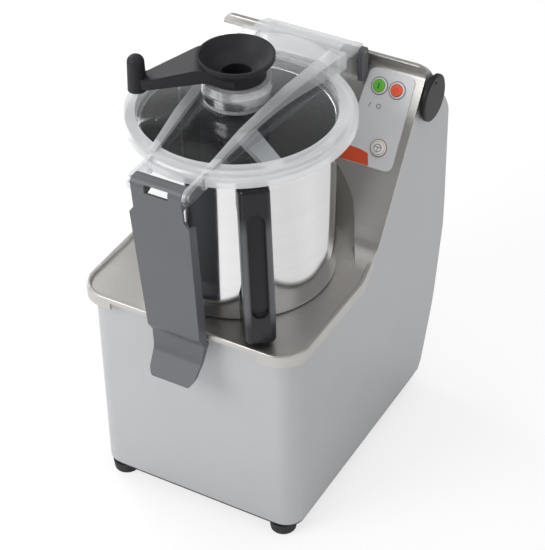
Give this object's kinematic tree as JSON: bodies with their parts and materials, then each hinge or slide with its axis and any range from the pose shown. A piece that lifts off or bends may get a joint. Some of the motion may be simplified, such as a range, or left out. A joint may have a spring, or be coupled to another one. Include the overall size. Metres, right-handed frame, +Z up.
{
  "type": "table-top vegetable cutter",
  "caption": "Table-top bowl cutter for chopping vegetables: bowl on a motor base with a hinged clear lid, latch lever, crank scraper, turning blades and a control panel.",
  "frame": {"origin": "on the table, under the middle of the machine's outline in plan", "axes": "+Z up, +Y to the back of the machine, +X to the right seen from the front"},
  "size_m": [0.256, 0.3964, 0.505],
  "materials": {
    "body_paint": "satin grey powder coat",
    "tray_metal": "brushed",
    "bowl_metal": "polished",
    "blade_metal": "ground",
    "bolt_steel": "plain",
    "base_black": "black",
    "foot_rubber": "matt",
    "grip_charcoal": "fine texture",
    "crank_black": "satin",
    "lever_grey": "satin",
    "lid_clear": "clear",
    "collar_silver": "silver",
    "seal_grey": "soft",
    "scraper_dark": "satin",
    "scraper_light": "satin",
    "wiper_soft": "soft",
    "panel_film": "satin film",
    "button_green": "gloss",
    "pulse_white": "gloss",
    "button_red": "gloss",
    "bezel_grey": "satin",
    "knob_grey": "satin",
    "gland_black": "matt",
    "motor_iron": "bare",
    "motor_alloy": "cast",
    "fan_plastic": "matt",
    "board_green": "coated"
  },
  "bodies": {
    "root": {"housing_shell": "body_paint", "top_cover": "tray_metal", "rear_cover": "body_paint", "rear_cover_screws": "bolt_steel", "base_plate": "base_black", "rubber_feet": "foot_rubber", "foot_screws": "bolt_steel", "cable_gland": "gland_black", "motor_stator": "motor_iron", "motor_lower_bell": "motor_alloy", "motor_upper_bell": "motor_alloy", "motor_posts": "bolt_steel", "lower_bearing": "bolt_steel", "upper_bearing": "bolt_steel", "shaft_seal": "foot_rubber", "drive_unit": "motor_alloy", "bowl_shell": "bowl_metal", "bowl_handle": "grip_charcoal", "handle_studs": "bolt_steel", "hinge_pin": "bolt_steel", "hinge_lugs": "lever_grey", "control_panel": "panel_film", "button_bezels": "bezel_grey", "control_board": "board_green", "board_posts": "bolt_steel", "knob_base": "knob_grey", "speed_dial": "bolt_steel", "lid_switch": "gland_black"},
    "blades": {"motor_rotor": "motor_iron", "motor_shaft": "bolt_steel", "cooling_fan": "fan_plastic", "blade_hub": "scraper_light", "lower_blade": "blade_metal", "upper_blade": "blade_metal"},
    "scraper": {"scraper_hub": "scraper_dark", "scraper_dark_arm": "scraper_dark", "scraper_light_arm": "scraper_light", "dark_wiper": "wiper_soft", "light_wiper": "wiper_soft"},
    "lid": {"lid": "lid_clear", "lid_collar": "collar_silver", "lid_seal": "seal_grey", "lever_pins": "bolt_steel"},
    "latch": {"latch_lever": "lever_grey"},
    "crank": {"crank": "crank_black"},
    "start_button": {"start_button": "button_green"},
    "stop_button": {"stop_button": "button_red"},
    "pulse_button": {"pulse_button": "pulse_white"},
    "speed_knob": {"speed_knob": "knob_grey", "knob_spindle": "bolt_steel"}
  },
  "joints": [
    {"name": "lid_hinge", "type": "hinge", "parent": "root", "child": "lid", "pos_m": [0, 0.118, 0.432], "axis": [-1, 0, 0], "range_deg": [0, 75]},
    {"name": "latch_swing", "type": "hinge", "parent": "lid", "child": "latch", "pos_m": [0, -0.189, 0.437], "axis": [-1, 0, 0], "range_deg": [0, 35]},
    {"name": "crank_spin", "type": "hinge", "parent": "lid", "child": "crank", "pos_m": [0, -0.046, 0.481], "axis": [0, 0, 1], "continuous": true},
    {"name": "scraper_spin", "type": "hinge", "parent": "root", "child": "scraper", "pos_m": [0, -0.046, 0.42], "axis": [0, 0, 1], "continuous": true},
    {"name": "blade_spin", "type": "hinge", "parent": "root", "child": "blades", "pos_m": [0, -0.046, 0.3], "axis": [0, 0, 1], "continuous": true},
    {"name": "start_button_press", "type": "slide", "parent": "root", "child": "start_button", "axis": [0, 0.83, -0.5577], "range_m": [0, 0.0012], "stiffness_N_per_m": 500},
    {"name": "stop_button_press", "type": "slide", "parent": "root", "child": "stop_button", "axis": [0, 0.83, -0.5577], "range_m": [0, 0.0012], "stiffness_N_per_m": 500},
    {"name": "pulse_button_press", "type": "slide", "parent": "root", "child": "pulse_button", "axis": [0, 0.83, -0.5577], "range_m": [0, 0.0012], "stiffness_N_per_m": 500},
    {"name": "speed_turn", "type": "hinge", "parent": "root", "child": "speed_knob", "pos_m": [0.122, 0.137, 0.3887], "axis": [1, 0, 0], "range_deg": [0, 270]}
  ],
  "couplings": [
    {"joint": "scraper_spin", "follows": "crank_spin", "ratio": 1}
  ]
}
